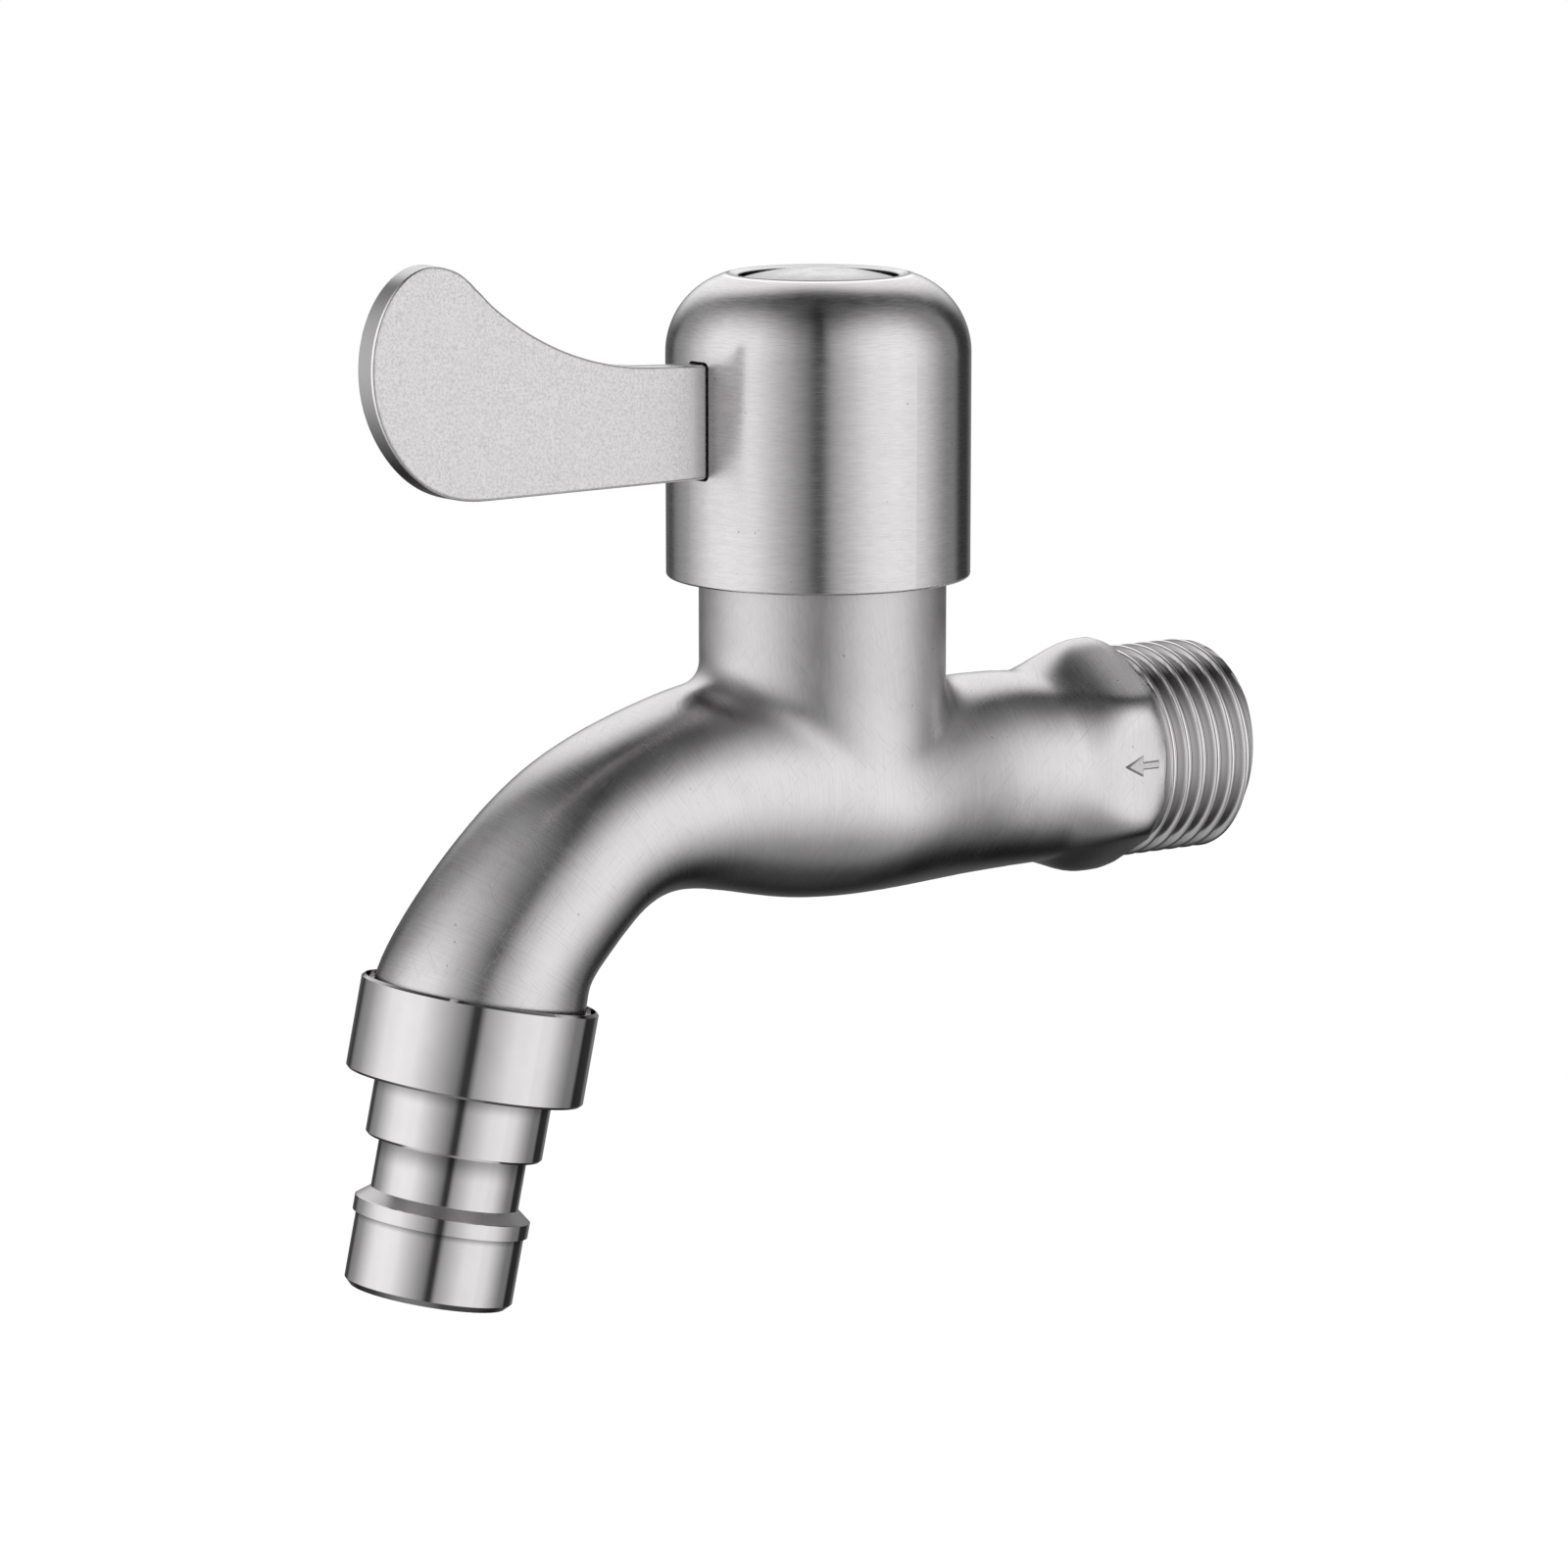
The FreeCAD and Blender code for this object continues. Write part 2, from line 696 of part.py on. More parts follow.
def lever_outline():
    """The paddle from the side: rising root, hollow top edge and a round head."""
    slope = math.radians(lever_root_slope)
    root = root_point(lever_root_length)
    tang = root_point(tang_end)
    centre_distance = lever_root_length - lever_hollow_radius * math.sin(slope)
    centre_height = root.z + lever_hollow_radius * math.cos(slope)
    turn = math.asin((lever_throat - centre_distance) / lever_hollow_radius)

    def on_hollow(angle):
        return beside(centre_distance + lever_hollow_radius * math.sin(angle),
                      centre_height - lever_hollow_radius * math.cos(angle))

    throat, middle = on_hollow(turn), on_hollow((turn + slope) / 2)
    tang_foot = beside(tang_end, lever_bottom)
    heel = beside(lever_heel, lever_bottom)
    head = Part.BSplineCurve()
    around = [beside(distance, lever_bottom + rise) for distance, rise in lever_head]
    head.interpolate(Points=[heel] + around + [throat], InitialTangent=beside(1, 0),
                     FinalTangent=beside(-math.cos(turn), -math.sin(turn)))
    edges = [head.toShape(), Part.Arc(throat, middle, root).toShape(),
             Part.makeLine(root, tang), Part.makeLine(tang, tang_foot),
             Part.makeLine(tang_foot, heel)]
    return Part.Wire(edges)


def handle_lever():
    plate = Part.Face(lever_outline()).extrude(vec(lever_thickness, 0, 0))
    plate.translate(vec(-lever_thickness / 2, 0, 0))
    rims = [edge for edge in plate.Edges if is_paddle_rim(edge)]
    plate = plate.makeFillet(lever_edge_round, rims)
    holes = [pin_hole(pin_radius, height, lever_thickness) for height in pin_heights()]
    return on_stem(plate.cut(holes), handle_angle)


def is_paddle_rim(edge):
    """True for an edge of one of the paddle's faces, outside the cap's slot."""
    box = edge.BoundBox
    return box.XLength < 0.001 and box.YMin < -cap_radius - 2


def lever_pins():
    half = fork_gap + fork_wall
    pins = [pin_hole(pin_radius, height, half) for height in pin_heights()]
    return on_stem(Part.makeCompound(pins), handle_angle)


def handle_screw():
    base = washer_seat + lock_washer_thickness
    top = base + screw_head_height
    screw = cylinder(screw_radius, screw_tip(), base + 0.5).fuse(
        cylinder(screw_head_radius, base, top))
    for turn in (0, 90):
        slot = Part.makeBox(2 * screw_slot_reach, screw_slot_width, screw_head_height / 2,
                            vec(-screw_slot_reach, -screw_slot_width / 2,
                                base + screw_head_height / 2))
        slot.rotate(vec(0, 0, 0), z_axis, turn)
        screw = screw.cut(slot)
    return on_stem(screw, handle_angle)


def lock_washer():
    low = washer_seat
    washer = ring(screw_radius + 2 * fit_clearance, lock_washer_radius, low,
                  low + lock_washer_thickness)
    split = Part.makeBox(2 * lock_washer_radius, lock_washer_split, lock_washer_thickness,
                         vec(0, -lock_washer_split / 2, low))
    return on_stem(washer.cut(split), handle_angle)


def top_button():
    """Plain domed disc with a hollow plug that snaps into the counterbore."""
    rim_top = cap_top - button_rim_drop
    rim_base = rim_top - button_rim_thickness
    dome_radius = (button_radius ** 2 + button_dome ** 2) / (2 * button_dome)
    ball = Part.makeSphere(dome_radius, vec(0, 0, rim_top + button_dome - dome_radius))
    dome = ball.common(cylinder(button_radius, rim_top, rim_top + 2 * button_dome))
    plug_outer = counterbore_radius - fit_clearance
    foot = ring(plug_outer - button_plug_wall, plug_outer + button_plug_wall, recess_floor, rim_base)
    plug = ring(plug_outer - button_plug_wall, plug_outer, recess_floor - button_plug_depth,
                recess_floor)
    button = cylinder(button_radius, rim_base, rim_top).fuse([dome, foot, plug])
    return on_stem(button.removeSplitter(), handle_angle)


def hose_nozzle():
    """Turned in one piece: threaded collar, step, groove, coned lip and spigot."""
    outline = [(collar_radius - collar_edge, 0), (collar_radius, -collar_edge),
               (collar_radius, collar_edge - collar_height),
               (collar_radius - collar_edge, -collar_height), (step_radius, -collar_height),
               (step_radius, collar_edge - step_end), (step_radius - collar_edge, -step_end),
               (groove_radius, -step_end), (groove_radius, -groove_end),
               (flange_lip_radius, -flange_lip_start), (flange_lip_radius, -flange_lip_end),
               (spigot_radius, -flange_lip_end), (spigot_radius, nozzle_end_round - nozzle_length),
               (spigot_radius - nozzle_end_round, -nozzle_length),
               (nozzle_bore_radius, -nozzle_length), (nozzle_bore_radius, collar_floor_top()),
               (spout_thread_radius + thread_clearance, collar_floor_top()),
               (spout_thread_radius + thread_clearance, -collar_mouth_depth),
               (collar_mouth_radius, -collar_mouth_depth), (collar_mouth_radius, 0)]
    return on_nozzle(turned(outline))


def collar_floor_top():
    return collar_floor - collar_height


def nozzle_washer():
    return on_nozzle(ring(nozzle_bore_radius + nozzle_washer_margin,
                          spout_thread_radius - 2 * fit_clearance,
                          collar_floor_top(), -spout_thread_length))


pieces = {
    "tap_body": tap_body,
    "headwork_gasket": headwork_gasket,
    "headwork_body": headwork_body,
    "seat_seal": seat_seal,
    "seal_support_ring": seal_support_ring,
    "lower_ceramic_disc": lower_disc,
    "upper_ceramic_disc": upper_disc,
    "spindle": spindle,
    "thrust_washer": thrust_washer,
    "lower_o_ring": lambda: o_ring(o_ring_heights()[0]),
    "upper_o_ring": lambda: o_ring(o_ring_heights()[1]),
    "spindle_clip": spindle_clip,
    "handle_cap": handle_cap,
    "handle_lever": handle_lever,
    "lever_pins": lever_pins,
    "handle_screw": handle_screw,
    "lock_washer": lock_washer,
    "top_button": top_button,
    "hose_nozzle": hose_nozzle,
    "nozzle_washer": nozzle_washer,
}

os.makedirs("parts", exist_ok=True)
for name, make in pieces.items():
    shape = make()
    box = shape.BoundBox
    print(name, "solids", len(shape.Solids), "valid", shape.isValid(),
          "volume", round(shape.Volume, 1), "height", round(box.ZMin, 2), round(box.ZMax, 2))
    shape.exportStep(os.path.join("parts", name + ".step"))
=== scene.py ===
import math

import bmesh
import bpy
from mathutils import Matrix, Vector


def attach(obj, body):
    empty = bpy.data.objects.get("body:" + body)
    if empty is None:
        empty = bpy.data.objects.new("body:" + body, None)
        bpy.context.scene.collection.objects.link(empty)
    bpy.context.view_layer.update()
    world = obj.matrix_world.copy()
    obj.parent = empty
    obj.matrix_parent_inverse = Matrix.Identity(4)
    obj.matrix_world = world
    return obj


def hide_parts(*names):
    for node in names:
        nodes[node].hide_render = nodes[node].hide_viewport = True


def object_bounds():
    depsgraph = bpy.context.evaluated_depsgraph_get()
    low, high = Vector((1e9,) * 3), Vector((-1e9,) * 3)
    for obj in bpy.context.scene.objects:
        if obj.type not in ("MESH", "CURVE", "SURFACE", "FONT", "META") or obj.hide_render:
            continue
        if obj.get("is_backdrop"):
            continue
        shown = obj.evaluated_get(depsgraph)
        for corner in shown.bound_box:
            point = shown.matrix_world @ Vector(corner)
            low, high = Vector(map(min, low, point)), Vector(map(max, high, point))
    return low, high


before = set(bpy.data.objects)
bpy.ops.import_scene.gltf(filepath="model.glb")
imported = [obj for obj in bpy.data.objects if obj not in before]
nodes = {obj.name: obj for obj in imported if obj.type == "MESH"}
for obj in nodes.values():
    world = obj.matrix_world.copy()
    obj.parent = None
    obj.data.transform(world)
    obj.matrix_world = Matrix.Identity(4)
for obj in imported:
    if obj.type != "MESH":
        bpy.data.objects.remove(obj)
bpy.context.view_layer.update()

mm = 0.001
stemAt = -34.0        # millimetres along Y: the handle's axis stands here
stemY = stemAt * mm
handleTurn = math.radians(4.8)
white = (1.0, 1.0, 1.0)
steelTint = (1.0, 0.977, 0.985)
noiseRange = (0.3, 0.7)        # nearly all of a noise lies between these


# one socket, so that shader maths reads as plain expressions

class Flow:
    def __init__(self, paint, socket):
        self.paint = paint
        self.socket = socket

    def maths(self, operation, *others):
        return self.paint.add("Math", {"operation": operation}, [self, *others])

    def __add__(self, other):
        return self.maths("ADD", other)

    def __radd__(self, other):
        return self + other

    def __sub__(self, other):
        return self.maths("SUBTRACT", other)

    def __rsub__(self, other):
        return -self + other

    def __mul__(self, other):
        return self.maths("MULTIPLY", other)

    def __rmul__(self, other):
        return self * other

    def __truediv__(self, other):
        return self.maths("DIVIDE", other)

    def __pow__(self, other):
        return self.maths("POWER", other)

    def __neg__(self):
        return self * -1.0

    def __abs__(self):
        return self.maths("ABSOLUTE")

    def above(self, other):
        return self.maths("MAXIMUM", other)

    def below(self, other):
        return self.maths("MINIMUM", other)

    def bearing(self, other):
        # the angle whose sine goes with this value and whose cosine goes with the other
        return self.maths("ARCTAN2", other)

    def between(self, low, high):
        # 0 at low, 1 at high, with soft ends
        settings = {"interpolation_type": "SMOOTHSTEP"}
        inputs = {"Value": self, "From Min": low, "From Max": high}
        return self.paint.add("MapRange", settings, inputs)

    def band(self, rise, fall):
        # 1 between the end of the rise and the start of the fall
        return self.between(*rise) * (1.0 - self.between(*fall))


class Paint:
    def __init__(self, name, surface="BsdfPrincipled", **inputs):
        self.material = bpy.data.materials.new(name)
        self.material.use_nodes = True
        self.nodes = self.material.node_tree.nodes
        self.links = self.material.node_tree.links
        self.nodes.clear()
        out = self.nodes.new("ShaderNodeOutputMaterial")
        self.out = out.inputs["Surface"]
        if surface:
            self.shader = self.nodes.new("ShaderNode" + surface)
            self.links.new(self.shader.outputs[0], self.out)
            self.feed(self.shader, inputs)

    def feed(self, node, inputs):
        pairs = inputs.items() if isinstance(inputs, dict) else enumerate(inputs)
        for key, value in pairs:
            socket = node.inputs[key]
            if isinstance(value, Flow):
                self.links.new(value.socket, socket)
            else:
                socket.default_value = value

    def add(self, kind, settings=None, inputs=None, output=0):
        # any node: its type, its settings, then the values or links of its sockets
        node = self.nodes.new("ShaderNode" + kind)
        for key, value in (settings or {}).items():
            if key == "stops":
                self.setStops(node.color_ramp, value)
            else:
                setattr(node, key, value)
        self.feed(node, inputs or {})
        return Flow(self, node.outputs[output])

    def setStops(self, ramp, stops):
        while len(ramp.elements) < len(stops):
            ramp.elements.new(1.0)
        for element, (place, level) in zip(ramp.elements, stops):
            element.position = place
            element.color = (level, level, level, 1.0)

    def place(self):
        # the three object coordinates, in millimetres
        spot = self.add("TexCoord", output="Object")
        split = self.add("SeparateXYZ", None, [spot])
        outputs = split.socket.node.outputs
        return [Flow(self, outputs[axis]) / mm for axis in range(3)]

    def vector(self, spot):
        return self.add("CombineXYZ", None, spot)

    def noise(self, spot, scales, detail=2.0, roughness=0.5):
        # one scale for all three coordinates, or one for each
        if isinstance(scales, float):
            scales = (scales, scales, scales)
        scaled = [value * scale for value, scale in zip(spot, scales)]
        inputs = {"Vector": self.vector(scaled), "Scale": 1.0, "Detail": detail,
                  "Roughness": roughness}
        return self.add("TexNoise", None, inputs)

    def mixColours(self, share, first, second):
        inputs = {"Factor": share, 6: first, 7: second}
        return self.add("Mix", {"data_type": "RGBA"}, inputs, output=2)

    def bump(self, height, soften=0.0):
        # heights and softening are in millimetres; soften rounds off creases in the shading
        inputs = {"Height": height, "Distance": mm, "Strength": 1.0}
        if soften:
            inputs["Normal"] = self.add("Bevel", {"samples": 8}, {"Radius": soften * mm})
        return self.add("Bump", None, inputs)

    def use(self, **inputs):
        names = {"colour": "Base Color", "roughness": "Roughness", "normal": "Normal"}
        self.feed(self.shader, {names[key]: value for key, value in inputs.items()})


def grey(level, tint=steelTint):
    return (level * tint[0], level * tint[1], level * tint[2], 1.0)


def fromStem(x, y):
    return (x * x + (y - stemAt) * (y - stemAt)) ** 0.5


pitMarks = {"raggedScale": 4.0, "ragged": 0.22, "edge": (0.04, 0.12), "chanceScale": 0.9,
            "chanceSpan": 0.04}


def wear(paint, spot, size, share):
    # small ragged pits: 1 in a pit, 0 elsewhere; a lower share gives more of them
    ragged = paint.noise(spot, pitMarks["raggedScale"])
    cells = paint.add("TexVoronoi", None, {"Vector": paint.vector(spot), "Scale": 1.0 / size},
                      output="Distance")
    chance = paint.noise(spot, pitMarks["chanceScale"], detail=1.0)
    near = cells + (ragged - 0.5) * pitMarks["ragged"]
    pit = 1.0 - near.between(*pitMarks["edge"])
    return pit * chance.between(share, share + pitMarks["chanceSpan"])


hairLines = {"firstScales": (0.35, 0.35, 5.0), "secondScales": (0.3, 4.5, 0.3),
             "edge": (0.64, 0.72)}


def scratches(paint, x, y, z):
    # short hairlines in two slanting directions: 1 on a hairline, 0 elsewhere
    first = paint.noise((x + z, y, x - z + y), hairLines["firstScales"], detail=1.0)
    second = paint.noise((z - y, y + z + x, x), hairLines["secondScales"], detail=1.0)
    return first.above(second).between(*hairLines["edge"])


capFinish = {"light": 0.83, "dark": 0.69, "fineShare": 0.75, "broadShare": 0.25,
             "fineScales": (0.7, 0.7, 12.0), "broadScales": (0.15, 0.15, 1.3),
             "roughness": 0.27, "fineRoughness": 0.12, "broadRoughness": 0.06,
             "anisotropy": 0.75, "anisotropyTurn": 0.25, "streakHeight": 0.0018,
             "pitSize": 1.2, "pitShare": 0.6, "pitTone": 0.25, "pitStrength": 0.6,
             "pitDepth": 0.01, "crownHeights": (41.0, 46.0), "crownPolish": 0.05,
             "gapHeights": (47.5, 48.0), "gapRadii": (7.7, 7.85), "gapShadeTone": 0.04,
             "topHeights": (48.0, 48.5), "holeEdge": 8.53, "edgeShadeLine": 0.3, "shadeLineTone": 0.1,
             "shadeLineStrength": 0.85, "wornHighlightRim": 0.48, "rimHighlightTone": 1.0, "rimPolish": 0.08}


def brushedCap():
    # fine lines round the stem, with a few small pits, and painted shade in the gap round the disc
    look = capFinish
    paint = Paint("brushedCap", Metallic=1.0, Anisotropic=look["anisotropy"])
    paint.feed(paint.shader, {"Anisotropic Rotation": look["anisotropyTurn"]})
    spot = x, y, z = paint.place()
    fine = paint.noise(spot, look["fineScales"], roughness=0.6)
    broad = paint.noise(spot, look["broadScales"])
    pits = wear(paint, spot, look["pitSize"], look["pitShare"])
    tone = fine * look["fineShare"] + broad * look["broadShare"]
    light = paint.mixColours(tone.between(*noiseRange), grey(look["dark"]), grey(look["light"]))
    worn = paint.mixColours(pits * look["pitStrength"], light, grey(look["pitTone"]))
    out = fromStem(x, y)
    # painted shadow: the hole's wall above the crown is made near black, in the gap round the disc
    gapShade = z.between(*look["gapHeights"]) * (1.0 - out.between(*look["gapRadii"]))
    # painted shade as a thin dark line on the hole's edge, then a rim worn smoother and painted
    # bright as a highlight
    top = z.between(*look["topHeights"])
    shadeLineEnd = look["holeEdge"] + look["edgeShadeLine"]
    rimEnd = shadeLineEnd + look["wornHighlightRim"]
    holeSoft = (look["holeEdge"] - 0.1, look["holeEdge"] - 0.02)
    shadeLineSoft = (shadeLineEnd - 0.04, shadeLineEnd + 0.04)
    shadeLine = top * out.band(holeSoft, shadeLineSoft)
    rim = top * out.band(shadeLineSoft, (rimEnd - 0.2, rimEnd))
    colour = paint.mixColours(gapShade, worn, grey(look["gapShadeTone"]))
    # painted shade: the dark line on the hole's edge
    colour = paint.mixColours(shadeLine * look["shadeLineStrength"], colour, grey(look["shadeLineTone"]))
    # painted highlight: the rim's colour is raised to white; its lower roughness below is the real
    # polish
    colour = paint.mixColours(rim, colour, grey(look["rimHighlightTone"]))
    rough = look["roughness"] + (fine - 0.5) * look["fineRoughness"]
    rough = rough + (broad - 0.5) * look["broadRoughness"]
    rough = rough - z.between(*look["crownHeights"]) * look["crownPolish"]
    rough = rough - rim * look["rimPolish"]
    normal = paint.bump(fine * look["streakHeight"] - pits * look["pitDepth"])
    paint.use(colour=colour, roughness=rough, normal=normal)
    return paint.material


bodyFinish = {"light": 0.77, "dark": 0.68, "lineShare": 0.6, "blotchShare": 0.4,
              "roundScales": (0.3, 0.25, 9.0), "blotchScale": 0.25, "lineHeight": 0.0012,
              "roughness": 0.25, "grainRoughness": 0.10, "bendY": -40.56, "bendZ": -31.83,
              "bendRadius": 35.0, "neckHeights": (3.0, 13.0), "neckReach": (12.0, 15.0),
              "neckScales": (5.0, 5.0, 0.2), "neckSlant": 0.16, "neckRoughness": 0.14,
              "pitSize": 1.6, "pitShare": 0.6, "pitStrength": 0.4, "pitDepth": 0.01,
              "hairStrength": 0.12, "hairDepth": 0.0025, "wornTone": 0.3, "soften": 2.2,
              "hexagonSoften": 0.5}


def satinBody(name, soften):
    # ground and brushed casting: lines run round the pipe and the bend, and up the neck
    look = bodyFinish
    paint = Paint(name, Metallic=1.0)
    spot = x, y, z = paint.place()
    ahead = (look["bendY"] - y).above(0.0)
    behind = (y - look["bendY"]).above(0.0)
    along = ahead.bearing(z - look["bendZ"]) * look["bendRadius"] - behind
    roundPipe = paint.noise((x, z + y, along), look["roundScales"], roughness=0.6)
    slanted = (x, y + z * look["neckSlant"], z)
    upNeck = paint.noise(slanted, look["neckScales"], detail=3.0, roughness=0.6)
    neck = z.between(*look["neckHeights"]) * (1.0 - abs(y - stemAt).between(*look["neckReach"]))
    lines = roundPipe * (1.0 - neck) + upNeck * neck
    blotch = paint.noise(spot, look["blotchScale"], detail=3.0)
    pits = wear(paint, spot, look["pitSize"], look["pitShare"])
    hairs = scratches(paint, x, y, z)
    tone = lines * look["lineShare"] + blotch * look["blotchShare"]
    light = paint.mixColours(tone.between(*noiseRange), grey(look["dark"]), grey(look["light"]))
    marks = pits * look["pitStrength"] + hairs * look["hairStrength"]
    colour = paint.mixColours(marks, light, grey(look["wornTone"]))
    rough = look["roughness"] + (lines + blotch - 1.0) * look["grainRoughness"]
    rough = rough + neck * look["neckRoughness"]
    height = lines * look["lineHeight"] - pits * look["pitDepth"] - hairs * look["hairDepth"]
    paint.use(colour=colour, roughness=rough, normal=paint.bump(height, soften))
    return paint.material


# distances across are from the plate's middle plane
leverFinish = {"face": 0.99, "speck": 0.74, "root": 0.74, "edge": 0.62, "rim": 1.0,
               "speckRange": (0.38, 0.68), "grainScale": 4.2, "fineScale": 9.0,
               "rimStart": (0.90, 1.00), "rimEnd": (1.225, 1.245), "rootReach": (15.4, 17.2),
               "roughness": 0.50, "fineRoughness": 0.1, "edgeRoughness": 0.24,
               "grainHeight": 0.02, "fineHeight": 0.008}


def blastedLever():
    # even bead-blasted faces, a smoother rim round them painted bright as a highlight, and
    # smoother, darker edges and root
    look = leverFinish
    paint = Paint("blastedLever", Metallic=1.0)
    spot = x, y, z = paint.place()
    grain = paint.noise(spot, look["grainScale"], detail=3.0, roughness=0.8)
    fine = paint.noise(spot, look["fineScale"])
    across = abs(x * math.cos(handleTurn) + (y - stemAt) * math.sin(handleTurn))
    edge = 1.0 - across.between(*look["rimStart"])
    rim = across.band(look["rimStart"], look["rimEnd"])
    root = 1.0 - fromStem(x, y).between(*look["rootReach"])
    smooth = (edge + rim).below(1.0).above(root)
    speck = grain.between(*look["speckRange"])
    face = paint.mixColours(speck, grey(look["face"]), grey(look["speck"]))
    face = paint.mixColours(root, face, grey(look["root"]))
    face = paint.mixColours(edge, face, grey(look["edge"]))
    # painted highlight: the rim's colour is raised to white
    colour = paint.mixColours(rim, face, grey(look["rim"], white))
    rough = (look["roughness"] + (fine - 0.5) * look["fineRoughness"]) * (1.0 - smooth)
    rough = rough + smooth * look["edgeRoughness"]
    height = (grain * look["grainHeight"] + fine * look["fineHeight"]) * (1.0 - smooth)
    paint.use(colour=colour, roughness=rough, normal=paint.bump(height))
    return paint.material


# each step is the distance down the nozzle's axis and the reach of the painted shade under it
nozzleShade = {"topY": -72.05, "topZ": -15.65, "alongY": -0.21303, "alongZ": -0.97705,
               "steps": ((8.9, 1.7), (14.7, 2.4), (21.9, 0.7)), "stepSoft": 0.05,
               "shade": 0.62, "tone": 0.08, "coneRise": (19.3, 19.6),
               "coneFall": (20.4, 20.5), "coneRoughness": 0.25}


def shadeNozzle(paint, y, z, colour, rough):
    # painted shade in the corner under each step, and matt on the lip's cone
    look = nozzleShade
    down = (y - look["topY"]) * look["alongY"] + (z - look["topZ"]) * look["alongZ"]
    for step, reach in look["steps"]:
        rise = (step - look["stepSoft"], step + look["stepSoft"])
        corner = down.band(rise, (step, step + reach))
        # painted shade: darker just under each step
        colour = paint.mixColours(corner * look["shade"], colour, grey(look["tone"]))
    cone = down.band(look["coneRise"], look["coneFall"])
    return colour, rough + cone * look["coneRoughness"]


crestHighlightRootShade = {"radii": (9.96, 10.46), "crestHighlight": 0.97, "rootShade": 0.4, "crestHighlightShare": 0.9,
             "rootShadeShare": 0.45}


def shadeThread(paint, x, z, colour):
    # crests painted bright as highlights, and roots painted with shade
    look = crestHighlightRootShade
    high = ((x * x + z * z) ** 0.5).between(*look["radii"])
    # painted shade in the thread's roots
    colour = paint.mixColours((1.0 - high) * look["rootShadeShare"], colour, grey(look["rootShade"]))
    # painted highlight on the thread's crests
    return paint.mixColours(high * high * look["crestHighlightShare"], colour, grey(look["crestHighlight"]))


turnedLook = {"slant": 0.2, "lineScales": (0.1, 0.1, 10.0), "blotchScale": 0.4, "darker": 0.05,
              "lighter": 0.03, "lineRoughness": 0.06, "blotchRoughness": 0.05}


def turnedSteel(name, level, roughness, lineHeight, nozzle=False, thread=False):
    # lathe-turned and polished: faint lines round the axis
    look = turnedLook
    paint = Paint(name, Metallic=1.0)
    spot = x, y, z = paint.place()
    slanted = (x, y + z * look["slant"], z + y * look["slant"])
    lines = paint.noise(slanted, look["lineScales"])
    blotch = paint.noise(spot, look["blotchScale"])
    dark, light = grey(level - look["darker"]), grey(level + look["lighter"])
    colour = paint.mixColours(blotch, dark, light)
    rough = roughness + (lines - 0.5) * look["lineRoughness"]
    rough = rough + (blotch - 0.5) * look["blotchRoughness"]
    if nozzle:
        colour, rough = shadeNozzle(paint, y, z, colour, rough)
    if thread:
        colour = shadeThread(paint, x, z, colour)
    paint.use(colour=colour, roughness=rough, normal=paint.bump(lines * lineHeight))
    return paint.material


discFinish = {"light": 0.88, "dark": 0.63, "mottleScale": 0.45, "mottleRange": (0.38, 0.6),
              "mottleRoughness": 0.14, "mottleHeight": 0.02, "roughness": 0.26, "rim": 0.3,
              "rimShadeReach": (3.6, 6.6), "rimShadeShare": 0.5}


def silveredDisc():
    # plain disc with a lightly mottled silver face, and painted shade that makes it greyer towards
    # its rim
    look = discFinish
    paint = Paint("silveredDisc", Metallic=1.0)
    spot = x, y, z = paint.place()
    mottle = paint.noise(spot, look["mottleScale"], detail=5.0, roughness=0.65)
    tone = mottle.between(*look["mottleRange"])
    silver = paint.mixColours(tone, grey(look["dark"], white), grey(look["light"], white))
    # painted shade: the disc is made darker towards its rim
    rim = fromStem(x, y).between(*look["rimShadeReach"]) * look["rimShadeShare"]
    colour = paint.mixColours(rim, silver, grey(look["rim"], white))
    rough = look["roughness"] + mottle.between(*noiseRange) * look["mottleRoughness"]
    normal = paint.bump(mottle * look["mottleHeight"])
    paint.use(colour=colour, roughness=rough, normal=normal)
    return paint.material


def plainStuff(name, colour, metallic, roughness, scale, height):
    # the mark and the hidden pieces: one colour with a fine grain of its own
    paint = Paint(name, Metallic=metallic)
    grain = paint.noise(paint.place(), scale, detail=3.0)
    darker = tuple(channel * 0.82 for channel in colour[:3]) + (1.0,)
    tone = paint.mixColours(grain.between(*noiseRange), darker, (*colour[:3], 1.0))
    rough = roughness + (grain - 0.5) * 0.12
    paint.use(colour=tone, roughness=rough, normal=paint.bump(grain * height))
    return paint.material


finishes = {
    "satinSteel": satinBody("satinBody", bodyFinish["soften"]),
    "hexagonSteel": satinBody("satinHexagon", bodyFinish["hexagonSoften"]),
    "capSteel": brushedCap(),
    "leverSteel": blastedLever(),
    "nozzleSteel": turnedSteel("turnedNozzle", 0.76, 0.07, 0.0006, nozzle=True),
    "threadSteel": turnedSteel("cutThread", 0.77, 0.16, 0.002, thread=True),
    "discSilver": silveredDisc(),
    "stampedMark": plainStuff("stampedMark", grey(0.66), 1.0, 0.25, 5.0, 0.002),
    "springSteel": turnedSteel("plainSteel", 0.56, 0.30, 0.001),
    "brass": plainStuff("turnedBrass", (0.72, 0.55, 0.28), 1.0, 0.28, 1.5, 0.002),
    "ceramic": plainStuff("whiteCeramic", (0.90, 0.89, 0.86), 0.0, 0.25, 2.0, 0.001),
    "rubber": plainStuff("blackRubber", (0.035, 0.035, 0.035), 0.0, 0.55, 5.0, 0.01),
    "acetal": plainStuff("whitePlastic", (0.86, 0.86, 0.83), 0.0, 0.4, 4.0, 0.002),
    "fibre": plainStuff("redFibre", (0.42, 0.10, 0.06), 0.0, 0.7, 3.0, 0.01),
}
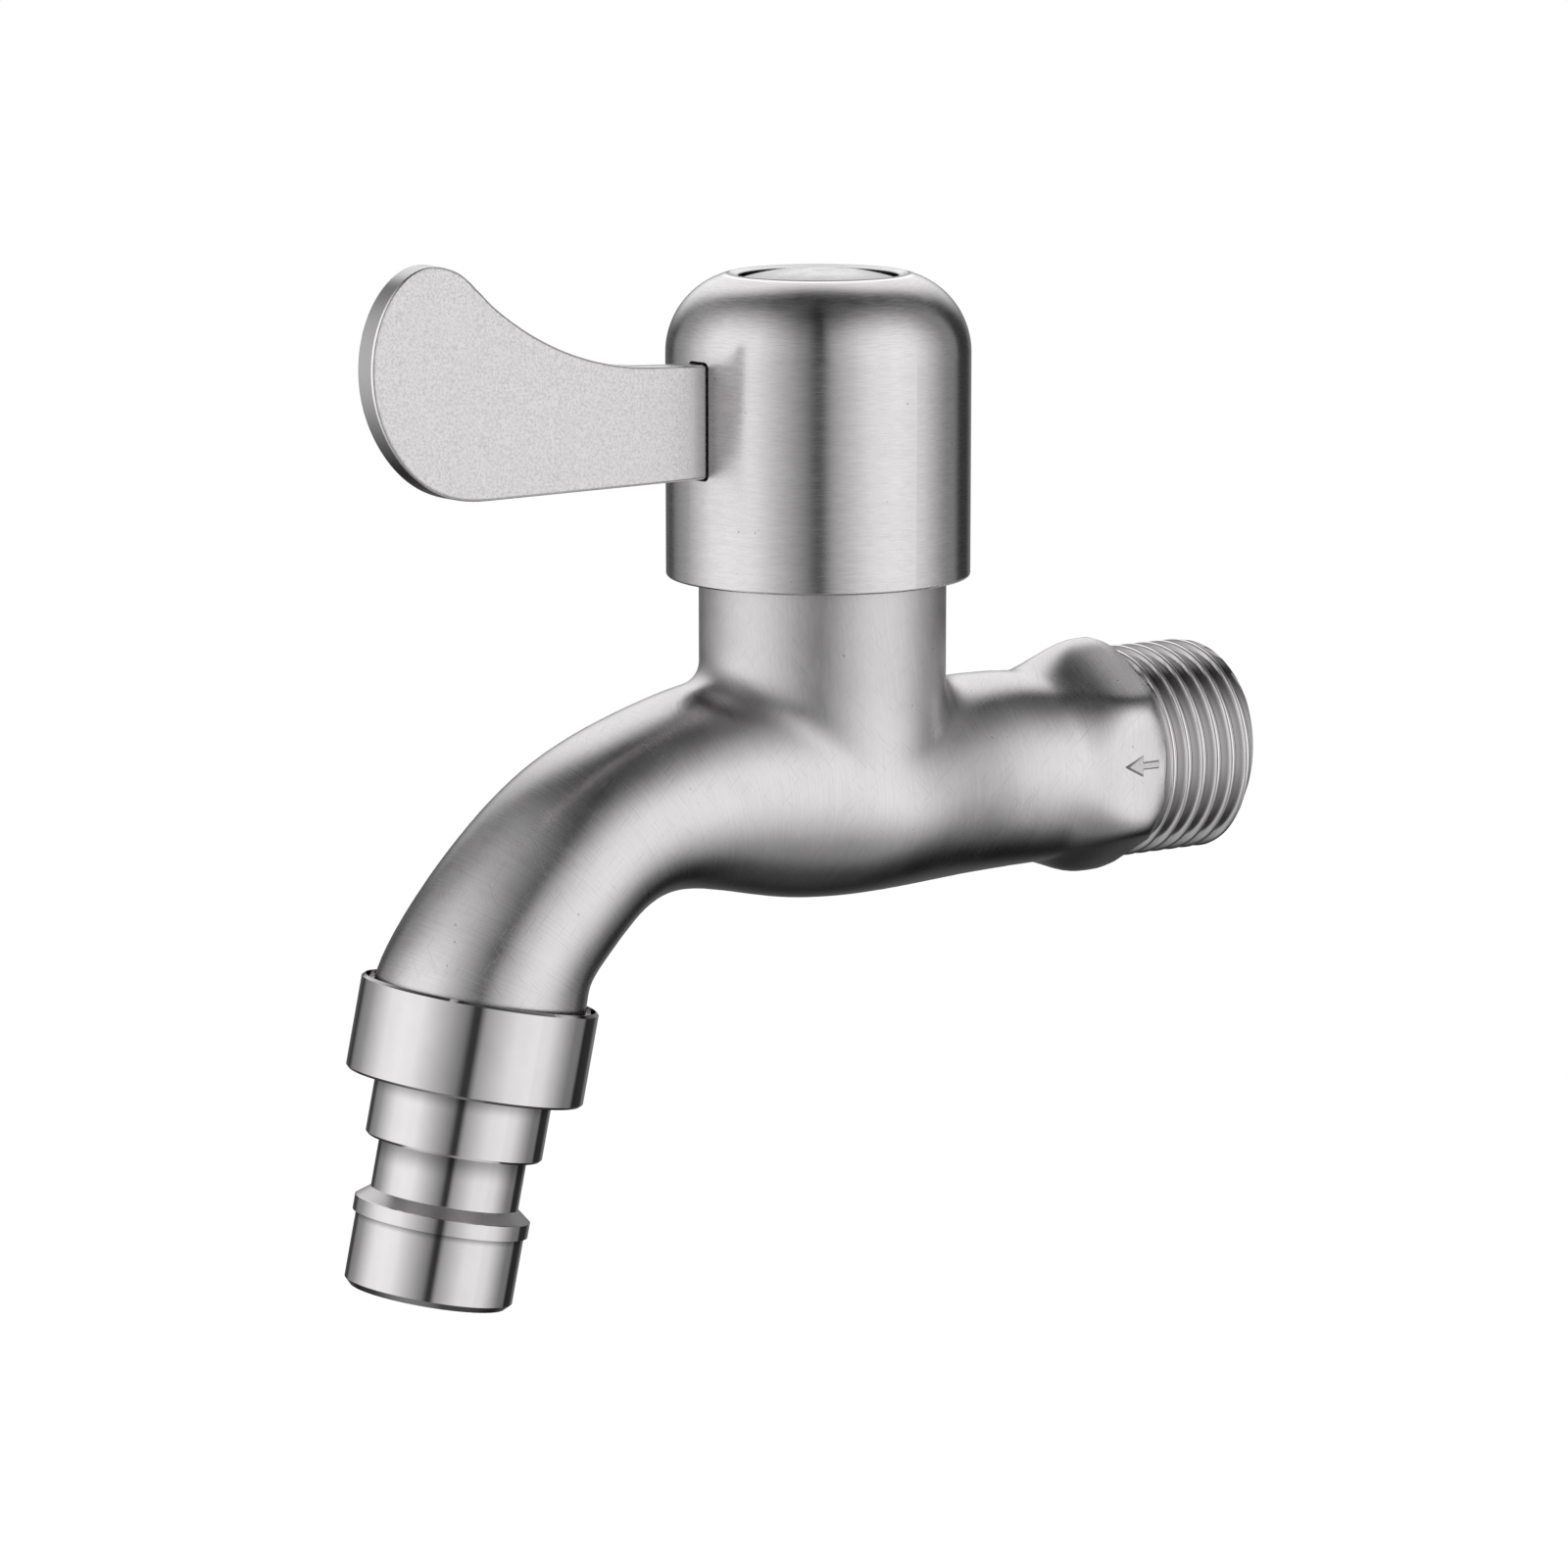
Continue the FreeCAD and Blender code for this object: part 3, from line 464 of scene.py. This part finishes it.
nodeFinish = {
    "handle_cap": ("capSteel", "brushed_cap_steel"),
    "top_button": ("discSilver", "button_steel"),
    "hose_nozzle": ("nozzleSteel", "turned_steel"),
    "headwork_gasket": ("fibre", "fibre"),
    "headwork_body": ("brass", "brass"),
    "seat_seal": ("rubber", "rubber"),
    "seal_support_ring": ("acetal", "acetal"),
    "lower_ceramic_disc": ("ceramic", "ceramic"),
    "upper_ceramic_disc": ("ceramic", "ceramic"),
    "spindle": ("brass", "brass"),
    "thrust_washer": ("acetal", "acetal"),
    "lower_o_ring": ("rubber", "rubber"),
    "upper_o_ring": ("rubber", "rubber"),
    "spindle_clip": ("springSteel", "spring_steel"),
    "lever_pins": ("springSteel", "spring_steel"),
    "handle_screw": ("springSteel", "spring_steel"),
    "lock_washer": ("springSteel", "spring_steel"),
    "nozzle_washer": ("rubber", "rubber"),
}


def wearFinish(piece, finish):
    piece.data.materials.clear()
    piece.data.materials.append(finishes[finish])


for nodeName, (finish, slotName) in nodeFinish.items():
    wearFinish(nodes[nodeName], finish)
print("finishes on", len(nodeFinish), "pieces")


# pieces made here: the casting, the thread, the lever's plate and the flow arrow

def rider(name, mesh, finish, body):
    piece = bpy.data.objects.new(name, mesh)
    bpy.context.scene.collection.objects.link(piece)
    wearFinish(piece, finish)
    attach(piece, body)
    return piece


def refined(name, mesh, finish, body, node):
    # shown in place of the node
    piece = rider(name, mesh, finish, body)
    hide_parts(node)
    return piece


def newMesh(name, verts, faces, smooth=True):
    mesh = bpy.data.meshes.new(name)
    mesh.from_pydata(verts, [], faces)
    mesh.validate()
    if smooth:
        mesh.shade_smooth()
    else:
        mesh.shade_flat()
    return mesh


threadEnd = {"crest": 10.4775, "root": 9.35, "pitch": 1.814, "length": 11.7, "chamfer": 0.5,
             "chamferSlope": 0.9, "start": 0.02, "runIn": 0.9, "bore": 7.0, "boreGap": 0.02,
             "crestShare": 0.12, "flankShare": 0.70, "rootRound": 0.06, "sharpFrom": 50.0,
             "sides": 180, "rowsPerTurn": 18}
castingCut = {"shoulder": 0.01, "boreGap": 0.05, "hexagonStart": -6.5}


def casting():
    # the body's own surface, without the plain end that stands for the thread
    size = castingCut
    mesh = nodes["tap_body"].data.copy()
    build = bmesh.new()
    build.from_mesh(mesh)
    shoulder = size["shoulder"] * mm
    reach = (threadEnd["bore"] + size["boreGap"]) * mm
    plain = [face for face in build.faces
             if min(v.co.y for v in face.verts) > -shoulder
             and max(v.co.y for v in face.verts) > shoulder
             and max(math.hypot(v.co.x, v.co.z) for v in face.verts) > reach]
    bmesh.ops.delete(build, geom=plain, context="FACES")
    for face in build.faces:
        if face.calc_center_median().y > size["hexagonStart"] * mm:
            face.material_index = 1
    build.to_mesh(mesh)
    build.free()
    piece = refined("body_casting", mesh, "satinSteel", "tap", "tap_body")
    piece.data.materials.append(finishes["hexagonSteel"])


def threadDepth(turn):
    # 0 on the crest and 1 in the root, over one pitch: flat crest, straight flanks, round root
    place = abs((turn % 1.0) - 0.5) * 2.0      # 0 in the middle of the crest, 1 in the root
    flank = (place - threadEnd["crestShare"]) / threadEnd["flankShare"]
    flank = min(max(flank, 0.0), 1.0)
    return flank - threadEnd["rootRound"] * math.sin(2.0 * math.pi * flank)


def threadRings():
    # radius and y for every side of every ring, from the shoulder to the bore's mouth
    size = threadEnd
    sides, start, end = size["sides"], size["start"], size["length"]
    rows = int(end / (size["pitch"] / size["rowsPerTurn"]))
    depth = size["crest"] - size["root"]
    rings = [[(size["root"], 0.0)] * sides, [(size["crest"], 0.0)] * sides]
    for row in range(rows + 1):
        y = start + (end - start) * row / rows
        runIn = min(y / size["runIn"], 1.0)
        limit = size["crest"] - (y - end + size["chamfer"]) * size["chamferSlope"]
        cuts = [threadDepth(y / size["pitch"] - side / sides) for side in range(sides)]
        rings.append([(min(size["crest"] - depth * cut * runIn, limit), y) for cut in cuts])
    rings.append([(size["bore"] + size["boreGap"], end)] * sides)
    return rings


def inletThread():
    rings = threadRings()
    sides = threadEnd["sides"]
    verts = []
    for ring in rings:
        for side, (radius, y) in enumerate(ring):
            a = 2.0 * math.pi * side / sides
            verts.append((radius * math.sin(a) * mm, y * mm, radius * math.cos(a) * mm))
    faces = []
    for row in range(len(rings) - 1):
        for side in range(sides):
            other = (side + 1) % sides
            faces.append((row * sides + side, (row + 1) * sides + side,
                          (row + 1) * sides + other, row * sides + other))
    mesh = newMesh("inlet_thread", verts, faces)
    piece = rider("inlet_thread", mesh, "threadSteel", "tap")
    piece.data.set_sharp_from_angle(angle=math.radians(threadEnd["sharpFrom"]))


# the plate's top edge, eased where its head meets the hollow: distance from the stem, lift, width
throatEase = {"above": 46.0, "waves": ((40.55, 0.148, 1.15), (41.51, -0.239, 0.765))}


def easedLever():
    mesh = nodes["handle_lever"].data.copy()
    for vertex in mesh.vertices:
        x, y, z = vertex.co / mm
        along = x * math.sin(handleTurn) - (y - stemAt) * math.cos(handleTurn)
        if z > throatEase["above"]:
            lift = sum(height * math.exp(-((along - place) / width) ** 2)
                       for place, height, width in throatEase["waves"])
            vertex.co.z += lift * mm
    refined("lever_plate", mesh, "leverSteel", "handle", "handle_lever")


arrowMark = {"flat": 10.5, "sink": -0.02, "lift": 0.12, "slope": 0.16, "foot": -0.7,
             "neck": -2.6, "tip": -4.7, "half": 0.42, "wing": 1.15, "middle": 0.4}


def flowArrow():
    # small raised arrow on the spanner flat, with sloping sides, pointing the way the water flows
    size = arrowMark
    foot, neck, tip = size["foot"], size["neck"], size["tip"]
    half, wing, slope = size["half"], size["wing"], size["slope"]
    low = [(foot, half), (neck, half), (neck, wing), (tip, 0.0)]
    high = [(foot - slope, half - slope), (neck - slope, half - slope),
            (neck - slope, wing - 2.0 * slope), (tip + 2.0 * slope, 0.0)]
    verts = []
    for shape, rise in ((low, size["sink"]), (high, size["lift"])):
        other = [(y, -z) for y, z in reversed(shape[:-1])]
        verts += [((size["flat"] + rise) * mm, y * mm, (size["middle"] + z) * mm)
                  for y, z in shape + other]
    count = len(verts) // 2
    faces = [tuple(range(count, 2 * count))]
    faces += [(i, (i + 1) % count, count + (i + 1) % count, count + i) for i in range(count)]
    mesh = newMesh("flow_arrow", verts, faces, smooth=False)
    rider("flow_arrow", mesh, "stampedMark", "tap")


casting()
inletThread()
easedLever()
flowArrow()
print("casting, thread, lever and arrow made")


# studio: white all round, a light tent with dark gaps that only the metal sees, and soft lamps

cameraAzimuth = 55.9
# Angles are in degrees: azimuths to the right of the camera, heights above the horizon.
# The cloth's brightness goes round the horizon, and is dark round the camera and at two gaps
# behind the object's sides.
tentLight = {"radius": 1.5, "power": 1.45, "foot": 0.1, "roof": (22.0, 76.0),
             "cloth": ((-180, 0.12), (-158, 0.07), (-145, 0.03), (-136, 0.17), (-120, 0.25),
                       (-104, 0.46), (-88, 0.69), (-70, 0.75), (-52, 0.71), (-30, 0.42),
                       (-8, 0.16), (-2, 0.03), (3, 0.03), (9, 0.28), (40, 0.67), (60, 0.74),
                       (77, 0.67), (100, 0.32), (112, 0.18), (125, 0.17), (131, 0.02),
                       (152, 0.03), (164, 0.16), (180, 0.12)),
             "tableHeights": (18.0, 55.0), "tableSides": (60.0, 110.0), "tableLevel": 0.45,
             "tableShare": 0.7, "glowHeights": (45.0, 75.0), "tableGlow": 0.05,
             "windowMiddle": 3.0, "windowSides": (146.0, 178.0), "windowFoot": (-4.0, 16.0),
             "windowTop": (46.0, 76.0), "windowLean": 0.5, "leanHeight": 35.0,
             "windowLevel": 0.72, "beneathHeights": (-50.0, -15.0),
             "beneathSides": (95.0, 140.0), "beneathShare": 0.85}


def lightTent():
    size = tentLight
    bpy.ops.mesh.primitive_uv_sphere_add(segments=64, ring_count=32, radius=size["radius"])
    tent = bpy.context.object
    tent.name = "light_tent"
    tent.location = (0.0, stemY, 0.0)
    tent.visible_camera = False
    tent.visible_diffuse = False
    tent.visible_transmission = False
    tent.visible_shadow = False
    tent.visible_volume_scatter = False
    tent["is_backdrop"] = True
    paint = Paint("tentCloth", surface="Emission")
    x, y, z = paint.place()
    a = math.radians(cameraAzimuth)
    toward = x * math.sin(a) - y * math.cos(a)
    side = x * math.cos(a) + y * math.sin(a)
    flat = toward * toward + side * side
    azimuth = side.bearing(toward) * math.degrees(1.0)
    height = z.bearing(flat ** 0.5) * math.degrees(1.0)
    stops = [((degrees + 180.0) / 360.0, level) for degrees, level in size["cloth"]]
    wave = paint.add("ValToRGB", {"stops": stops}, [(azimuth + 180.0) / 360.0])
    # towards the table the gaps in front fade out
    facing = 1.0 - abs(azimuth).between(*size["tableSides"])
    table = (-height).between(*size["tableHeights"]) * facing * size["tableShare"]
    wave = wave + (size["tableLevel"] - wave) * table
    # the cloth fades towards the ground and the roof, and a window stands behind the object
    low = z.below(0.0)
    upright = flat / (flat + low * low) * (1.0 - height.between(*size["roof"]))
    cloth = wave * (size["foot"] + upright * (1.0 - size["foot"]))
    behind = abs(azimuth - size["windowMiddle"])
    behind = behind + height.above(0.0).below(size["leanHeight"]) * size["windowLean"]
    window = behind.between(*size["windowSides"])
    window = window * height.band(size["windowFoot"], size["windowTop"])
    light = cloth.above(window * size["windowLevel"])
    # darker low down behind, and a faint glow straight below
    beneath = 1.0 - height.between(*size["beneathHeights"])
    beneath = beneath * abs(azimuth).between(*size["beneathSides"])
    light = light * (1.0 - beneath * size["beneathShare"])
    light = light + (-height).between(*size["glowHeights"]) * size["tableGlow"]
    paint.feed(paint.shader, {"Color": (1.0, 1.0, 1.0, 1.0), "Strength": light * size["power"]})
    tent.data.materials.append(paint.material)


roomLight = {"fill": 0.45}        # what matt surfaces get; the camera and the metal see full white


def whiteWorld():
    world = bpy.data.worlds.new("white_room")
    bpy.context.scene.world = world
    world.use_nodes = True
    tree = world.node_tree
    tree.nodes.clear()
    out = tree.nodes.new("ShaderNodeOutputWorld")
    path = tree.nodes.new("ShaderNodeLightPath")
    seen = path.outputs["Is Camera Ray"]
    for ray in ("Is Glossy Ray", "Is Transmission Ray"):
        either = tree.nodes.new("ShaderNodeMath")
        either.operation = "MAXIMUM"
        tree.links.new(seen, either.inputs[0])
        tree.links.new(path.outputs[ray], either.inputs[1])
        seen = either.outputs[0]
    strength = tree.nodes.new("ShaderNodeMapRange")
    strength.inputs["To Min"].default_value = roomLight["fill"]
    tree.links.new(seen, strength.inputs["Value"])
    ground = tree.nodes.new("ShaderNodeBackground")
    ground.inputs["Color"].default_value = (1.0, 1.0, 1.0, 1.0)
    tree.links.new(strength.outputs[0], ground.inputs["Strength"])
    tree.links.new(ground.outputs[0], out.inputs["Surface"])


floorCard = {"drop": 0.09, "size": 4.0, "level": 0.9, "fade": (120.0, 480.0)}


def paleFloor():
    # pale round the object, clear farther out and from below
    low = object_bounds()[0].z - floorCard["drop"]
    bpy.ops.mesh.primitive_plane_add(size=floorCard["size"], location=(0.0, stemY, low))
    floor = bpy.context.object
    floor.name = "pale_floor"
    floor.visible_glossy = False
    floor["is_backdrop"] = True
    paint = Paint("paleFloor", surface=None)
    x, y, z = paint.place()
    away = ((x * x + y * y) ** 0.5).between(*floorCard["fade"])
    under = paint.add("NewGeometry", output="Backfacing")
    card = paint.add("BsdfDiffuse", None, {"Color": grey(floorCard["level"], white)})
    clear = paint.add("BsdfTransparent")
    mix = paint.add("MixShader", None, [away.above(under), card, clear])
    paint.links.new(mix.socket, paint.out)
    floor.data.materials.append(paint.material)


# each place is a name, degrees to the right of the camera and degrees up
lampSet = {"power": 9.0, "size": 1.2, "distance": 1.2,
           "places": (("key_left", -60.0, 40.0), ("key_right", 60.0, 40.0),
                      ("over_head", 180.0, 75.0))}


def softLamp(name, azimuth, elevation):
    a, e = math.radians(cameraAzimuth + azimuth), math.radians(elevation)
    away = Vector((math.sin(a) * math.cos(e), -math.cos(a) * math.cos(e), math.sin(e)))
    lamp = bpy.data.lights.new(name, "AREA")
    lamp.shape = "DISK"
    lamp.size = lampSet["size"]
    lamp.energy = lampSet["power"]
    holder = bpy.data.objects.new(name, lamp)
    bpy.context.scene.collection.objects.link(holder)
    holder.location = Vector((0.0, stemY, 0.0)) + away * lampSet["distance"]
    holder.rotation_mode = "QUATERNION"
    holder.rotation_quaternion = away.to_track_quat("Z", "Y")
    holder.visible_glossy = False


# fitted to the photograph
photoCamera = {"lens": 135.0, "sensor": 36.0, "near": 0.05, "far": 20.0,
               "place": (0.45919, -0.34907, 0.10051), "ahead": (-0.81476, 0.55205, -0.17726)}


def setCamera():
    eye = bpy.data.cameras.new("camera")
    eye.lens = photoCamera["lens"]
    eye.sensor_width = photoCamera["sensor"]
    eye.clip_start = photoCamera["near"]
    eye.clip_end = photoCamera["far"]
    holder = bpy.data.objects.new("camera", eye)
    bpy.context.scene.collection.objects.link(holder)
    holder.location = photoCamera["place"]
    holder.rotation_mode = "QUATERNION"
    holder.rotation_quaternion = Vector(photoCamera["ahead"]).to_track_quat("-Z", "Y")
    bpy.context.scene.camera = holder


whiteWorld()
lightTent()
paleFloor()
for place in lampSet["places"]:
    softLamp(*place)
setCamera()
bpy.context.scene.view_settings.view_transform = "Standard"
print("studio ready")
